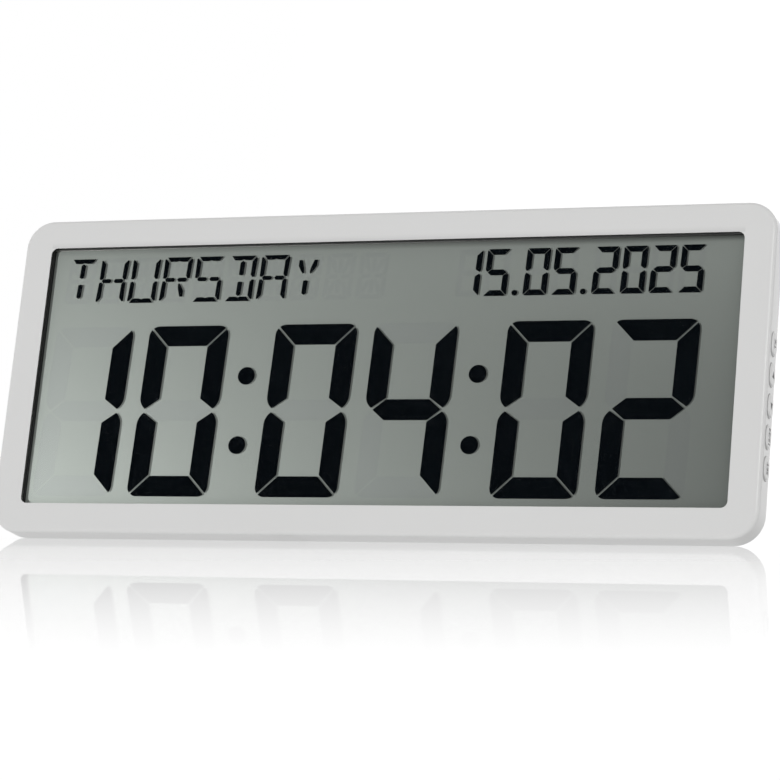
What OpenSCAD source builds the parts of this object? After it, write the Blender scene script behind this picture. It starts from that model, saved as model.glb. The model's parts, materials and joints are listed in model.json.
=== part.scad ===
// Radio-controlled digital wall clock, leaning back on its fold-out stand.
// Each piece is made in the case frame, with X to the right, Y to the back and Z up, and its
// origin in the middle of the front face. placed() then leans the whole clock back.

/* [Case] */
// Width of the case
case_w = 359.6; // [350:0.1:420]
// Height of the case
case_h = 149.7; // [146:0.1:180]
// Depth from the front face to the back face
case_d = 31; // [30:0.5:39]
// Corner radius of the front shell
corner_r = 13; // [9:0.5:15]
// Rounding of the front edge
edge_r = 2; // [0.6:0.1:2.2]
// Depth of the front shell's side wall
rim_d = 12; // [10.8:0.1:13]
// Wall thickness of both shells
wall = 2.2; // [1.9:0.1:2.6]
// Thickness of the front face
face_t = 1.8; // [1.5:0.1:2.2]
// Angle that the clock leans back by, in degrees
lean = 15; // [11:0.5:18]

/* [Window] */
// Width of the frame at the left and right of the window
frame_side = 13.9; // [13.8:0.1:20]
// Height of the frame above and below the window
frame_top = 13.65; // [13.4:0.05:18]
// Corner radius of the window
window_r = 3; // [1:0.5:6]
// Thickness of the lip at the edge of the window
lip_t = 0.8; // [0.6:0.1:1.1]
// Width of the gasket round the window
gasket_w = 3; // [2:0.1:3.4]
// Thickness of the gasket
gasket_t = 1.2; // [1:0.1:1.4]

/* [Display] */
// Reach of the display glass past the window on each side
lcd_overlap = 4; // [3.8:0.1:4.2]
// Thickness of the front film
film_t = 0.2; // [0.1:0.05:0.3]
// Thickness of each glass plate
glass_t = 1.1; // [0.7:0.1:1.3]
// Gap between the glass plates
cell_gap = 0.3; // [0.25:0.05:0.4]
// Thickness of the segments in the gap
segment_t = 0.2; // [0.1:0.05:0.2]
// Space between the rear glass and the reflector
reflector_gap = 0.1; // [0.05:0.05:0.2]
// Thickness of the reflector sheet
reflector_t = 0.3; // [0.2:0.05:0.4]
// Height of the contact ledge at the top of the front glass
ledge_h = 3; // [2.8:0.1:3.2]
// Thickness of the frame that holds the display
holder_t = 2.9; // [2.8:0.05:3]

/* [Time digits] */
// Space between the bottom of the window and the time digits
time_low = 4.25; // [3:0.05:10]
// Space between the time digits and the row above them
row_gap = 11.9; // [6:0.1:16]
// Space at the left of the time digits
time_left = 4.81; // [3:0.01:14]
// Space at the right of the time digits
time_right = 18.92; // [6:0.02:24]
// Space between two pairs of time digits, round the colon
colon_space = 23.27; // [16:0.01:28]
// Space between the two digits of a pair
pair_gap = 8.26; // [4:0.01:12]
// Stroke of a time digit
time_stroke = 9.55; // [6:0.05:11]
// Gap between the segments of a time digit
time_gap = 0.9; // [0.5:0.05:1.4]
// Radius of a time digit's outer corners
time_r = 4.8; // [2:0.1:6]
// Slant of the time digits, sideways over height
time_slant = 0.031; // [0:0.001:0.08]
// Diameter of a colon dot
colon_d = 8.2; // [5:0.1:10]
// Distance of a colon dot from the middle of the digits
colon_rise = 16.2; // [10:0.1:22]

/* [Date digits] */
// Space between the top of the window and the date
date_top = 4.2; // [2:0.05:8]
// Space at the right of the date
date_right = 17.92; // [6:0.02:24]
// Height of a date digit
date_h = 21.75; // [16:0.05:24]
// Width of a date digit
date_w = 10.85; // [8:0.05:11.5]
// Stroke of a date digit
date_stroke = 2.62; // [1.6:0.02:3]
// Gap between the segments of a date digit
date_gap = 0.38; // [0.2:0.02:0.6]
// Radius of a date digit's outer corners
date_r = 1.1; // [0.6:0.1:2]
// Spacing of the date digits
date_pitch = 13; // [12:0.1:13.4]
// Spacing of two date digits with a dot between them
date_break = 18.5; // [17:0.1:19]
// Slant of the date digits, sideways over height
date_slant = 0.042; // [0:0.001:0.08]
// Diameter of a date dot
date_dot_d = 2.6; // [1.6:0.1:3]

/* [Weekday letters] */
// Height of a letter
letter_h = 21.65; // [16:0.05:22]
// Width of a letter
letter_w = 14; // [10:0.1:14.6]
// Width of a letter's upright strokes
letter_stroke = 2.25; // [1.4:0.05:2.6]
// Height of a letter's top and bottom bars
letter_bar = 2.1; // [1.4:0.05:2.4]
// Spacing of the letters
letter_pitch = 16.14; // [15.4:0.02:17]
// Space at the left of the letters
letter_left = 8.32; // [5:0.02:14]
// Space between the top of the window and the letters
letter_top = 4.6; // [2:0.05:8]
// Slant of the letters, sideways over height
letter_slant = 0.055; // [0:0.001:0.08]

/* [Buttons] */
// Length of a button along the side of the case
button_l = 10.6; // [8:0.1:11.4]
// Width of a button across the side of the case
button_w = 7; // [5.4:0.1:7.2]
// Height that a button stands out of the case
button_proud = 0.9; // [0.6:0.1:1.4]
// Chamfer round the end of a button
button_chamfer = 0.6; // [0.2:0.1:0.6]
// Press travel of a button
button_travel = 0.5; // [0.3:0.05:0.55]
// Spacing of the buttons
button_pitch = 13.7; // [13.2:0.1:16]
// Place of the middle button up the side
button_z = -15.2; // [-18:0.1:0]
// Distance of the buttons behind the front face
button_y = 6.2; // [6:0.05:6.4]

/* [Rear cover] */
// Thickness of the cover's flange behind the front shell
flange_t = 1.5; // [1.2:0.1:2]
// Step from the front shell in to the flange
flange_step = 0.8; // [0.6:0.1:1]
// Corner radius of the flange
flange_r = 12; // [11:0.5:16]
// Slope of the cover's sides, inward from flange to back
back_inset = 7.5; // [5:0.1:8.5]
// Distance of the keyholes from the middle
keyhole_x = 110; // [80:1:125]
// Height of the keyholes above the middle
keyhole_z = 42; // [36:1:48]
// Radius of a keyhole's entry
keyhole_r = 4.5; // [3.5:0.1:5]
// Width of a keyhole's slot
keyhole_slot_w = 4.4; // [3.6:0.1:4.6]
// Length of a keyhole's slot from the entry's centre
keyhole_slot_l = 9; // [7:0.1:11]
// Distance of the outer case screws in from the side walls
screw_in = 58; // [50:1:66]
// Space between the stand's pocket and the screw posts beside it
post_gap = 12; // [10:0.5:16]

/* [Stand] */
// Width of the stand
stand_w = 84; // [60:1:88]
// Thickness of the stand's leg
stand_t = 3.4; // [2.8:0.1:3.6]
// Height of the stand's hinge above the middle
hinge_z = 8; // [0:0.5:12]
// Distance of the hinge axis in from the back face
hinge_in = 2.8; // [2.7:0.1:3.2]
// Radius of the stand's pivot stubs
stub_r = 1.5; // [1.1:0.1:1.6]
// Length of a pivot stub
stub_l = 3.5; // [2.5:0.1:4]
// Depth of the stand's pocket in the back
pocket_d = 5.6; // [5.5:0.1:6.4]
// Radius of the rubber foot
foot_r = 2; // [1.6:0.1:2.2]

/* [Batteries] */
// Diameter of a cell
cell_d = 14.5; // [13.8:0.1:14.6]
// Length of a cell with its nub
cell_l = 50.5; // [49.5:0.1:51]
// Distance of the battery bay's outer end from the end of the back face
bay_end = 9; // [8.5:0.5:14]
// Place of the battery bay up the back
bay_z = -5; // [-12:0.5:2]
// Thickness of the battery door
door_t = 1.8; // [1.6:0.1:2]

/* [Electronics] */
// Width of the main board
board_w = 190; // [180:1:194]
// Height of the main board
board_h = 36; // [34:0.5:38]
// Thickness of the boards
board_t = 1.6; // [1.2:0.1:1.8]
// Radius of the ferrite rod
rod_r = 4; // [3:0.1:4.4]
// Length of the ferrite rod
rod_l = 60; // [54:1:70]
// Distance of the rod's end from the end of the back face
rod_in = 34; // [24:1:44]
// Place of the rod up the case
rod_z = -46; // [-48:0.5:-40]
// Length of the antenna winding
coil_l = 24; // [16:1:28]
// Thickness of the antenna winding
coil_t = 1.2; // [0.6:0.1:1.6]

/* [Fits] */
// Clearance round a moving piece
slide_gap = 0.2; // [0.15:0.05:0.3]
// Clearance at each side of the stand in its pocket
stand_gap = 1; // [0.6:0.1:2]
// Clearance round a seated piece
seat_gap = 0.3; // [0.2:0.05:0.4]
// Radial clearance of a turning stub and of a screw in its pilot hole
turn_gap = 0.05; // [0.02:0.01:0.1]

/* [Hidden] */
$fn = 64;
cut = 1; // reach of a cut past the face that it opens

// Inside of the front shell and the window
inner_x = case_w / 2 - wall;
inner_z = case_h / 2 - wall;
window_w = case_w - 2 * frame_side;
window_h = case_h - 2 * frame_top;

// Display stack, from the front to the back
lcd_w = window_w + 2 * lcd_overlap;
lcd_h = window_h + 2 * lcd_overlap;
film_y = lip_t + gasket_t;
front_glass_y = film_y + film_t;
cell_y = front_glass_y + glass_t;
rear_glass_y = cell_y + cell_gap;
glass_back = rear_glass_y + glass_t;
reflector_y = glass_back + reflector_gap;
holder_y = reflector_y + reflector_t;
holder_back = holder_y + holder_t;
film_inset = 0.8; // step from the glass edge in to the film and the reflector
rear_glass_top = lcd_h / 2 - ledge_h;
seal_inset = 0.2;
seal_margin = 0.1;

// Rows of the display, which fill the window
time_h = window_h - time_low - row_gap - date_h - date_top;
time_z = time_low + (time_h - window_h) / 2;
time_pair_w = (window_w - time_left - time_right - 2 * colon_space) / 3;
time_w = (time_pair_w - pair_gap) / 2;
time_pitch = time_w + pair_gap;
pair_pitch = time_pair_w + colon_space;
time_x = (time_left - time_right) / 2;
date_z = (window_h - date_h) / 2 - date_top;
letter_x = letter_left + (letter_w - window_w) / 2;
letter_z = (window_h - letter_h) / 2 - letter_top;

// Holder frame, its tabs and its screws
holder_margin = 1;
holder_bar = 20;
holder_top_bar = 42;
holder_w = lcd_w + 2 * holder_margin;
holder_h = lcd_h + 2 * holder_margin;
tab_w = 10;
tab_x = 75;
boss_r = 3;
boss_sink = 0.2; // depth that a boss runs into the wall beside it
boss_z = inner_z + boss_sink - boss_r;
pilot_r = 1.25;
screw_r = pilot_r - turn_gap;
holder_screw_l = 5;
small_head_r = 2.2;
small_head_h = 1.4;
flat_head_h = min(small_head_h, rim_d - holder_back - 0.1); // clear of the rear cover's flange
rib_l = 12;
rib_t = 2;
side_rib_t = 1;
rib_x = 145;
rib_z = 45;

// Main board and its parts
spacer_t = 0.8;
spacer_r = 2.4;
board_y = holder_back + spacer_t;
board_back = board_y + board_t;
board_rise = 0.8; // height of the board's top over the display glass
board_screw_in = 6;
board_screw_drop = 7;
zebra_in = 10;
board_top = lcd_h / 2 + board_rise;
board_low = board_top - board_h;
board_screw_x = board_w / 2 - board_screw_in;
board_screw_low = board_low + board_screw_in;
board_screw_high = board_top - board_screw_drop;
board_bite = 1.5; // depth of a board screw's tip in the holder's plate
board_screw_l = spacer_t + board_t + board_bite;
zebra_w = board_w - 2 * zebra_in;
zebra_h = 2.4;
zebra_z = lcd_h / 2 - ledge_h / 2;
blob_r = 8;
blob_h = 2;
blob_x = -20;
crystal_r = 1.5;
crystal_l = 8;
crystal_x = 6;
can_r = 3.1;
can_h = 7;
can_x = 30;
can_pitch = 9;
can_count = 3;
part_z = (board_low + board_top) / 2;
receiver_w = 24;
receiver_h = 16;
receiver_t = 1;
receiver_x = -60;
chip_w = 5;
chip_t = 1.2;

// Buttons, switches and the key board, from the side wall inward
BUTTON_NAMES = ["zone", "up", "down", "format", "set"];
button_count = len(BUTTON_NAMES);
function button_at(i) = button_z + button_pitch * ((button_count - 1) / 2 - i);
button_flange_t = 2.2;
button_flange_reach = 0.9;
flange_x = inner_x - slide_gap - button_flange_t;
plunger_r = 0.9;
plunger_l = 1.5;
switch_w = 4;
switch_t = 2;
switch_room = 0.1; // room left under a plunger that is pressed right in
switch_x = flange_x - button_travel - seat_gap - switch_t;
key_board_t = 1;
key_board_x = switch_x - key_board_t;
key_board_y = face_t + slide_gap;
key_board_over = 0.1; // reach of the key board past the cable
key_board_end = 9;
key_board_back = board_y + key_board_over;
key_board_l = button_pitch * (button_count - 1) + 2 * key_board_end;
key_post_l = 3;
key_post_side = 0.4;
key_post_x = key_board_x - key_post_side;
key_post_w = 2.6;
key_slot = 1.2;

// Flat cable from the key board to the main board
cable_t = 0.3;
cable_w = 8;
cable_drop = 6;
cable_z = button_at(0) - cable_drop;
cable_x = 72;
cable_lap = 4;

// Rear cover
flange_w = case_w - 2 * flange_step;
flange_h = case_h - 2 * flange_step;
taper_y = rim_d + flange_t;
back_w = flange_w - 2 * back_inset;
back_in = case_d - wall;
inner_inset = back_inset * (back_in - taper_y) / (case_d - taper_y);
lip_l = 30;
lip_w = 1.4;
lip_reach = 1.6;
lip_x = 30;
lip_corner = 2; // space between a side lip and the corner's rounding
lip_z = inner_z - corner_r - lip_corner - lip_l / 2;
post_r = 4.6;
seat_t = 2.5;
head_r = 2.6;
head_h = 1.6;
well_r = head_r + 2 * slide_gap;
seat_y = rim_d + seat_t;
case_screw_l = 7.5;
screw_x = inner_x - screw_in;
inner_screw_x = stand_w / 2 + stand_gap + post_gap + post_r;
CASE_SCREWS = [
    [-screw_x, boss_z], [screw_x, boss_z], [-screw_x, -boss_z], [screw_x, -boss_z],
    [-inner_screw_x, -boss_z], [inner_screw_x, -boss_z]
];

// Stand
stand_open = 2 * lean;
leg_sink = 0.3; // depth of the folded leg below the back face
stub_room = 2; // thickness of a lug past its stub
heel_room = 2; // room above the heel
hinge_y = case_d - hinge_in;
leg_out = hinge_in - leg_sink; // outer face of the leg, out from the hinge axis
leg_in = stand_t - leg_out; // inner face of the leg, in from the hinge axis
knuckle_r = leg_out;
heel_l = (pocket_d - hinge_in - turn_gap - leg_in * cos(stand_open)) / sin(stand_open);
pocket_w = stand_w + 2 * stand_gap;
pocket_top = hinge_z + heel_room + max(heel_l, knuckle_r) + leg_out / 2;
lug_w = stub_l + stub_room;
lug_r = 4.4;
leg_rib_w = 1.6;
leg_rib_h = 1.2;
foot_end = 4; // space between the foot's end and the leg's side
foot_l = stand_w - 2 * foot_end;
foot_in = (leg_out - leg_in) / 2; // foot centre, out from the hinge axis
lift = rim_d * sin(lean) + case_h / 2 * cos(lean);
hinge_height = lift - hinge_y * sin(lean) + hinge_z * cos(lean);
leg_turn = stand_open - lean; // slope of the open leg from the vertical
leg_l = (hinge_height + foot_in * sin(leg_turn) - foot_r) / cos(leg_turn);
foot_y = hinge_y * cos(lean) + hinge_z * sin(lean) + foot_in * cos(leg_turn) + leg_l * sin(leg_turn);
front_y = edge_r * cos(lean) - (case_h / 2 - edge_r) * sin(lean) - edge_r;
shift_y = -(front_y + foot_y + foot_r) / 2;

// Battery bay, door and contacts
bay_wall = 1.6;
contact_t = 0.4;
leaf_l = 4.7;
bay_l = cell_l + leaf_l + 2 * contact_t;
bay_x1 = back_w / 2 - bay_end;
bay_x0 = bay_x1 - bay_l;
cell_room = 0.4; // room beside each cell
bay_h = 2 * cell_d + 4 * cell_room;
cell_dz = cell_d / 2 + cell_room;
door_gap = 0.1;
door_y = case_d - door_gap - door_t;
recess_y = door_y - slide_gap;
cell_y_mid = recess_y - seat_gap - cell_d / 2;
bay_floor = cell_y_mid - cell_d / 2 - turn_gap;
door_reach = 6;
door_rim = 2;
door_end = 1;
grip_in = 8;
door_x0 = bay_x0 - door_reach;
door_x1 = back_w / 2 - door_end;
door_h = bay_h + 2 * door_rim;
tongue = 1.2;
tongue_t = 0.8;
door_pad = 3;
nub_r = 2.75;
nub_l = 1;
contact_w = 9;
leaf_w = 8;
tab_t = 0.5;
tab_l = 3.2;
grip_l = 18;
grip_w = 1.2;
grip_h = 0.6;
grip_pitch = 2.6;
grip_count = 5;

// Antenna and its cradles in the cover
rod_y = 17.5;
grommet_t = 1.6;
grommet_r = rod_r + grommet_t;
grommet_w = 4;
grommet_in = 6;
grommet_x = rod_l / 2 - grommet_in;
rod_x = rod_in + (rod_l - back_w) / 2;
cradle_w = 3;
cradle_h = 18;

// Leads, as routes of points chosen by hand
lead_r = 0.6;
fine_lead_r = 0.3;

// Colours
white = [0.83, 0.83, 0.82];
black = [0.03, 0.03, 0.03];
lcd_grey = [0.6, 0.63, 0.58];
glass = [0.8, 0.86, 0.84, 0.25];
ink = [0.02, 0.04, 0.05];
board_green = [0.1, 0.35, 0.15];
steel = [0.72, 0.72, 0.74];
rubber = [0.12, 0.12, 0.12];
ferrite = [0.2, 0.2, 0.21];
copper = [0.72, 0.42, 0.2];

// Leans the clock back, rim on the floor, with the middle of its footprint at the origin.
module placed() {
    translate([0, shift_y, lift]) rotate([-lean, 0, 0]) children();
}

// Turns a piece of the stand from its folded place to its open one.
module opened() {
    translate([0, hinge_y, hinge_z]) rotate([stand_open, 0, 0]) children();
}

// Extrudes an outline drawn in X and Z from y0 back to y1.
module along_y(y0, y1) {
    translate([0, y1, 0]) rotate([90, 0, 0]) linear_extrude(y1 - y0) children();
}

// Box between two corners.
module block(low, high) {
    translate(low) cube(high - low);
}

// Round bar along X, Y or Z from a point, with its length.
module bar_x(p, r, l) {
    translate(p) rotate([0, 90, 0]) cylinder(r = r, h = l);
}

module bar_y(p, r, l) {
    translate(p) rotate([-90, 0, 0]) cylinder(r = r, h = l);
}

// Copies a piece to the left and right of the middle.
module both_sides() {
    children();
    mirror([1, 0, 0]) children();
}

module rounded_rect(w, h, r) {
    square([w - 2 * r, h], center = true);
    square([w, h - 2 * r], center = true);
    for (sx = [-1, 1], sz = [-1, 1])
        translate([sx * (w / 2 - r), sz * (h / 2 - r)]) circle(r);
}

// Slab with rounded corners whose front edge is rolled over.
module rolled_slab(w, h, r, depth, roll) {
    module profile(half, low) {
        translate([low, roll]) square([half - low, depth - roll]);
        translate([low + (low < 0 ? roll : 0), 0]) square([half - low - roll * (low < 0 ? 2 : 1), depth]);
        translate([half - roll, roll]) circle(roll);
        if (low < 0) translate([low + roll, roll]) circle(roll);
    }
    linear_extrude(h - 2 * r, center = true) profile(w / 2, -w / 2);
    rotate([0, -90, 0]) linear_extrude(w - 2 * r, center = true) profile(h / 2, -h / 2);
    for (sx = [-1, 1], sz = [-1, 1])
        translate([sx * (w / 2 - r), 0, sz * (h / 2 - r)])
            rotate([-90, 0, 0]) rotate_extrude() profile(r, 0);
}

// Slab with rounded corners whose sides slope in by inset from y0 to y1.
module sloped_slab(w, h, r, inset, y0, y1) {
    module profile(half) {
        polygon([[-half, y0], [half, y0], [half - inset, y1], [inset - half, y1]]);
    }
    linear_extrude(h - 2 * r, center = true) profile(w / 2);
    rotate([0, -90, 0]) linear_extrude(w - 2 * r, center = true) profile(h / 2);
    for (sx = [-1, 1], sz = [-1, 1])
        translate([sx * (w / 2 - r), y0, sz * (h / 2 - r)])
            rotate([-90, 0, 0]) cylinder(r1 = r, r2 = r - inset, h = y1 - y0);
}

// Bar along X with round ends, l long and w wide, round the line of a button.
module pill(z, l, w, x0, x1) {
    block([x0, button_y - w / 2, z - (l - w) / 2], [x1, button_y + w / 2, z + (l - w) / 2]);
    for (s = [-1, 1]) bar_x([x0, button_y, z + s * (l - w) / 2], w / 2, x1 - x0);
}

// The same bar with a chamfer c round the end at x1.
module chamfered_pill(z, l, w, x0, x1, c) {
    half = w / 2;
    translate([0, button_y, z]) linear_extrude(l - w, center = true) polygon([
        [x0, -half], [x1 - c, -half], [x1, c - half], [x1, half - c], [x1 - c, half], [x0, half]
    ]);
    for (s = [-1, 1])
        translate([x0, button_y, z + s * (l - w) / 2]) rotate([0, 90, 0]) rotate_extrude()
            polygon([[0, 0], [half, 0], [half, x1 - x0 - c], [half - c, x1 - x0], [0, x1 - x0]]);
}

// Screw with its head's underside at y, its shaft pointing to the front.
module screw(x, y, z, r, l, top_r, top_h) {
    slot_w = top_r / 3;
    slot_l = top_r * 1.3;
    slot_d = top_h / 2;
    difference() {
        union() {
            bar_y([x, y, z], top_r, top_h);
            bar_y([x, y - l, z], r, l);
        }
        translate([x, y + top_h, z]) {
            cube([slot_w, 2 * slot_d, slot_l], center = true);
            cube([slot_l, 2 * slot_d, slot_w], center = true);
        }
    }
}

// Smooth route through a list of points, as a closer list of points.
route_steps = 4;
function unit(v) = v / norm(v);
function slope_at(p, i) = let (
    before = p[max(i - 1, 0)],
    after = p[min(i + 1, len(p) - 1)],
    near = min(
        i > 0 ? norm(p[i] - before) : norm(after - p[i]),
        i < len(p) - 1 ? norm(after - p[i]) : norm(p[i] - before)
    )
) unit(after - before) * near;
function route_point(p, i, t) = p[i] * (2 * pow(t, 3) - 3 * pow(t, 2) + 1)
    + slope_at(p, i) * (pow(t, 3) - 2 * pow(t, 2) + t)
    + p[i + 1] * (3 * pow(t, 2) - 2 * pow(t, 3))
    + slope_at(p, i + 1) * (pow(t, 3) - pow(t, 2));
function route(p) = concat(
    [for (i = [0 : len(p) - 2], k = [0 : route_steps - 1]) route_point(p, i, k / route_steps)],
    [p[len(p) - 1]]
);

// Wire that follows such a route, with a flat end square to the route at each end of it.
wire_sides = 8;
wire_side_dir = [1, -1, 0.2]; // a direction that no wire here runs along
module wire(points, r) {
    p = route(points);
    n = len(p);
    ends = len(points) - 1;
    rings = [
        for (i = [0 : n - 1])
            let (
                run = i == 0 ? points[1] - points[0]
                    : i == n - 1 ? points[ends] - points[ends - 1]
                    : p[i + 1] - p[i - 1],
                u = unit(cross(run, wire_side_dir)),
                v = cross(unit(run), u)
            )
            for (k = [0 : wire_sides - 1])
                let (a = 360 * k / wire_sides) p[i] + r * (cos(a) * u + sin(a) * v)
    ];
    sides = [
        for (i = [0 : n - 2], k = [0 : wire_sides - 1])
            let (next = (k + 1) % wire_sides, row = i * wire_sides, row2 = row + wire_sides)
            [row + k, row2 + k, row2 + next, row + next]
    ];
    first = [for (k = [0 : wire_sides - 1]) k];
    last = [for (k = [wire_sides - 1 : -1 : 0]) (n - 1) * wire_sides + k];
    polyhedron(rings, concat([first], sides, [last]));
}

// Points on an arc, from angle a0 to angle a1.
arc_steps = 5;
function arc(x, z, r, a0, a1) = [
    for (i = [0 : arc_steps])
        let (a = a0 + (a1 - a0) * i / arc_steps) [x + r * cos(a), z + r * sin(a)]
];
function flip_x(points) = [for (p = points) [-p.x, p.y]];
function flip_z(points) = [for (p = points) [p.x, -p.y]];
function slanted(points, slant) = [for (p = points) [p.x + slant * p.y, p.y]];

// Outlines of a digit's segments a to g, clockwise from the top and then the middle bar.
// Uprights end in a tip near the middle, drawn in from the outer edge with a round flank.
function digit_segments(w, h, t, gap, r) = let (
    x = w / 2,
    z = h / 2,
    miter = gap / sqrt(2),
    turn = asin(gap / 2 / r),
    tip = 0.3 * t,
    flank = 0.74 * t,
    flank_turn = acos((flank - tip) / flank),
    flank_z = gap + flank * sin(flank_turn),
    top = concat(
        [[t + miter - x, z - t]],
        arc(r - x, z - r, r, 135 - turn, 90),
        arc(x - r, z - r, r, 90, 45 + turn),
        [[x - t - miter, z - t]]
    ),
    upper_left = concat(
        [[t - x, z - t - miter]],
        arc(r - x, z - r, r, 135 + turn, 180),
        arc(flank - x, flank_z, flank, 180, 180 + flank_turn),
        [[t - x, t / 2 + 0.9 * gap]]
    ),
    bar_tip = x - 0.39 * t,
    bar = [
        [-bar_tip, 0], [t - x, t / 2], [x - t, t / 2],
        [bar_tip, 0], [x - t, -t / 2], [t - x, -t / 2]
    ],
    upper_right = flip_x(upper_left)
) [top, upper_right, flip_z(upper_right), flip_z(top), flip_z(upper_left), upper_left, bar];

DIGIT_NAMES = "abcdefg";
DIGITS = [
    "abcdef", "bc", "abged", "abgcd", "fgbc", "afgcd", "afgcde", "abc", "abcdefg", "abcdfg"
];

// The names among all that aren't lit.
function unlit(lit, all) = [for (name = all) if (len(search(name, lit)) == 0) name];

// The segments of a digit that are lit, or else the rest of them.
module digit(value, lit, w, h, t, gap, r, slant) {
    outlines = digit_segments(w, h, t, gap, r);
    names = lit ? [for (name = DIGITS[value]) name] : unlit(DIGITS[value], DIGIT_NAMES);
    for (name = names)
        polygon(slanted(outlines[search(name, DIGIT_NAMES)[0]], slant));
}

// Outlines of a letter's segments: the six of its frame, two middle bars, then the diagonals
// and the middle uprights.
LETTER_NAMES = "abcdefghijklmn";
function letter_segments(w, h, t, bar) = let (
    x = w / 2,
    z = h / 2,
    gap = t / 4,
    notch = t / 5,
    top = [
        [t / 2 - x, z], [x - t / 2, z], [x - t - gap, z - bar], [t / 2, z - bar],
        [0, z - bar + notch], [-t / 2, z - bar], [t + gap - x, z - bar]
    ],
    upper_left = [
        [-x, z - t / 2], [gap - x, z - t / 3], [t - x, z - bar - gap],
        [t - x, gap + t / 2], [t * 0.6 - x, gap], [gap / 2 - x, gap * 1.4]
    ],
    left_bar = [
        [t * 0.65 - x, 0], [t - x, bar / 2 - 0.1], [-t * 0.6, bar / 2 - 0.1],
        [-gap, 0], [-t * 0.6, 0.1 - bar / 2], [t - x, 0.1 - bar / 2]
    ],
    upper_middle = [
        [-t / 2, t * 0.8], [-t / 2, z - bar - 2 * gap], [0, z - bar - gap / 2],
        [t / 2, z - bar - 2 * gap], [t / 2, t * 0.8], [0, t * 0.65]
    ],
    upper_slope = [
        [t + gap / 2 - x, z - bar - gap], [t * 1.8 - x, z - bar - gap], [-t * 0.75, z * 0.41],
        [-t * 0.6, t], [-t * 0.85, t * 0.72], [-t * 1.4, z * 0.3], [t + gap / 2 - x, z * 0.5]
    ],
    upper_right = flip_x(upper_left),
    right_slope = flip_x(upper_slope)
) [
    top, upper_right, flip_z(upper_right), flip_z(top), flip_z(upper_left), upper_left,
    left_bar, flip_x(left_bar), upper_slope, upper_middle, right_slope,
    flip_z(upper_slope), flip_z(upper_middle), flip_z(right_slope)
];

// Segments lit for each letter of the weekday shown, which is a Thursday.
// The last places of the row are empty.
WEEKDAY = ["ajm", "bcefgh", "bcdef", "abefghn", "acdfgh", "abcdjm", "abcefgh", "ikm", "", ""];

// The segments of the letter at a place that are lit, or else the rest of them.
module letter(i, lit) {
    outlines = letter_segments(letter_w, letter_h, letter_stroke, letter_bar);
    names = lit ? [for (name = WEEKDAY[i]) name] : unlit(WEEKDAY[i], LETTER_NAMES);
    translate([letter_x + letter_pitch * i, letter_z])
        for (name = names)
            polygon(slanted(outlines[search(name, LETTER_NAMES)[0]], letter_slant));
}

TIME = [1, 0, 0, 4, 0, 2];
DATE = [1, 5, 0, 5, 2, 0, 2, 5];
function date_breaks(i) = (i > 1 ? 1 : 0) + (i > 3 ? 1 : 0);
function date_from_first(i) = date_pitch * i + (date_break - date_pitch) * date_breaks(i);
function date_at(i) = (window_w - date_w) / 2 - date_right
    + date_from_first(i) - date_from_first(len(DATE) - 1);

// Front shell with its window, bosses, ribs and button slots.
module front_bezel() {
    color(white) placed() difference() {
        union() {
            difference() {
                rolled_slab(case_w, case_h, corner_r, rim_d, edge_r);
                along_y(face_t, rim_d + cut)
                    rounded_rect(2 * inner_x, 2 * inner_z, corner_r - wall);
            }
            for (p = CASE_SCREWS)
                bar_y([p.x, face_t / 2, p.y], boss_r, rim_d - slide_gap - face_t / 2);
            for (sz = [-1, 1])
                both_sides() {
                    bar_y([tab_x, face_t / 2, sz * boss_z], boss_r, holder_y - face_t / 2);
                    mirror([0, 0, sz < 0 ? 1 : 0]) lcd_ribs();
                }
            for (s = [-1, 1]) key_post(s);
        }
        along_y(-cut, rim_d) rounded_rect(window_w, window_h, window_r);
        along_y(lip_t, face_t + cut)
            rounded_rect(window_w + 2 * gasket_w, window_h + 2 * gasket_w, window_r + gasket_w);
        for (p = CASE_SCREWS)
            bar_y([p.x, seat_y - case_screw_l - seat_gap, p.y], pilot_r, case_screw_l);
        for (sx = [-1, 1], sz = [-1, 1])
            bar_y([sx * tab_x, holder_back - holder_screw_l - seat_gap, sz * boss_z],
                pilot_r, holder_screw_l);
        for (i = [0 : button_count - 1])
            pill(button_at(i), button_l + 2 * slide_gap, button_w + 2 * slide_gap,
                inner_x - cut, case_w / 2 + cut);
    }
}

// Ribs that keep the display glass in place, at the top right.
module lcd_ribs() {
    x = lcd_w / 2 + seat_gap;
    z = lcd_h / 2 + seat_gap;
    block([rib_x - rib_l / 2, face_t / 2, z], [rib_x + rib_l / 2, glass_back, z + rib_t]);
    block([x, face_t / 2, rib_z - rib_l / 2], [x + side_rib_t, glass_back, rib_z + rib_l / 2]);
}

// Slotted post at one end of the key board.
module key_post(s) {
    end = key_board_l / 2;
    translate([0, 0, button_z]) mirror([0, 0, s < 0 ? 1 : 0]) difference() {
        block([key_post_x, face_t / 2, end - key_slot],
            [key_post_x + key_post_w, key_board_back, end + key_post_l]);
        block([key_board_x - slide_gap / 2, face_t, end - key_slot - cut],
            [key_board_x + key_board_t + slide_gap / 2, key_board_back + cut, end + slide_gap]);
    }
}

// Black ring that lines the window and carries the display.
module lcd_gasket() {
    ring = gasket_w - slide_gap / 2;
    step = slide_gap;
    color(black) placed() difference() {
        along_y(lip_t, film_y)
            rounded_rect(window_w + 2 * ring, window_h + 2 * ring, window_r + ring);
        along_y(lip_t - cut, film_y + cut)
            rounded_rect(window_w + 2 * step, window_h + 2 * step, window_r + step);
    }
}

module front_polariser() {
    color(glass) placed()
        block([film_inset - lcd_w / 2, film_y, film_inset - lcd_h / 2],
            [lcd_w / 2 - film_inset, front_glass_y, lcd_h / 2 - film_inset]);
}

module front_glass() {
    color(glass) placed()
        block([-lcd_w / 2, front_glass_y, -lcd_h / 2], [lcd_w / 2, cell_y, lcd_h / 2]);
}

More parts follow.
